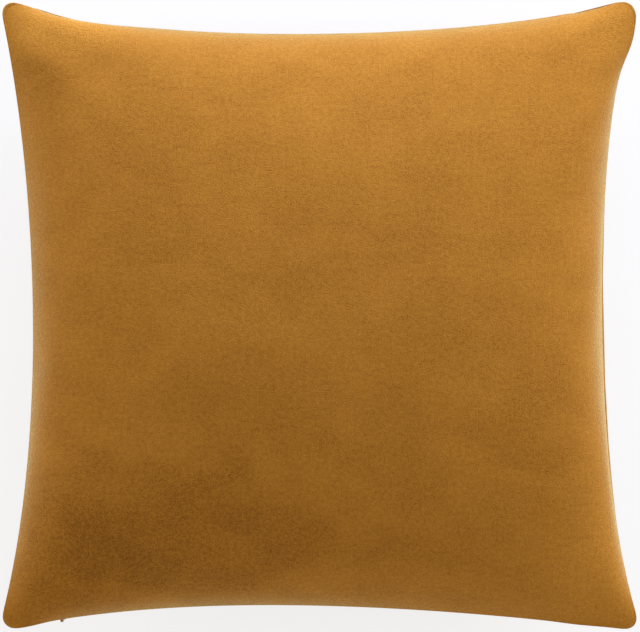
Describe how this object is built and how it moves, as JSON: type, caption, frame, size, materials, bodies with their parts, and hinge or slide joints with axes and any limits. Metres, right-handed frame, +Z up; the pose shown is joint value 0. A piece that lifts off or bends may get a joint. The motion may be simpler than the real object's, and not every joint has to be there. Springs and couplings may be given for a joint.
{
  "type": "throw pillow",
  "caption": "Square knife-edge throw pillow: a velvet cover with a concealed zip along the bottom edge, round a filled insert.",
  "frame": {"origin": "on the floor under the middle of the pillow, which lies on its back panel", "axes": "+Z up through the thickness, out of the front panel; +X to the right and +Y to the top as the front panel is seen; the zip runs along the -Y edge"},
  "size_m": [0.5, 0.4939, 0.161],
  "materials": {
    "cover_velvet": "matte",
    "cover_thread": "matte",
    "zip_tape": "matte",
    "zip_teeth": "satin",
    "zip_metal": "satin",
    "label_tape": "satin",
    "ticking_cotton": "matte",
    "insert_thread": "matte",
    "filling": "matte"
  },
  "bodies": {
    "pillow": {"cover_front_panel": "cover_velvet", "cover_back_panel": "cover_velvet", "cover_needle_thread": "cover_thread", "cover_bobbin_thread": "cover_thread", "cover_overlock": "cover_thread", "zip_tape_front": "zip_tape", "zip_tape_back": "zip_tape", "zip_coil_front": "zip_teeth", "zip_coil_back": "zip_teeth", "zip_top_stops": "zip_metal", "zip_bottom_stop": "zip_metal", "zip_stitches_front": "cover_thread", "zip_stitches_back": "cover_thread", "zip_end_tacks": "cover_thread", "care_label": "label_tape", "insert_front_ticking": "ticking_cotton", "insert_back_ticking": "ticking_cotton", "insert_seam_thread": "insert_thread", "insert_closing_stitch": "insert_thread", "insert_label": "label_tape", "insert_fill": "filling"},
    "zip_slider": {"zip_slider_body": "zip_metal"},
    "pull_tab": {"zip_pull_tab": "zip_metal"}
  },
  "joints": [
    {"name": "zip_travel", "type": "hinge", "parent": "pillow", "child": "zip_slider", "pos_m": [-0.024, -1.779, 0.078], "axis": [0, 0, -1], "range_deg": [0, 14.55]},
    {"name": "pull_tab_flip", "type": "hinge", "parent": "zip_slider", "child": "pull_tab", "pos_m": [-0.20274, -0.24055, 0.078], "axis": [-0.9933, -0.1154, 0], "range_deg": [0, 150]}
  ]
}
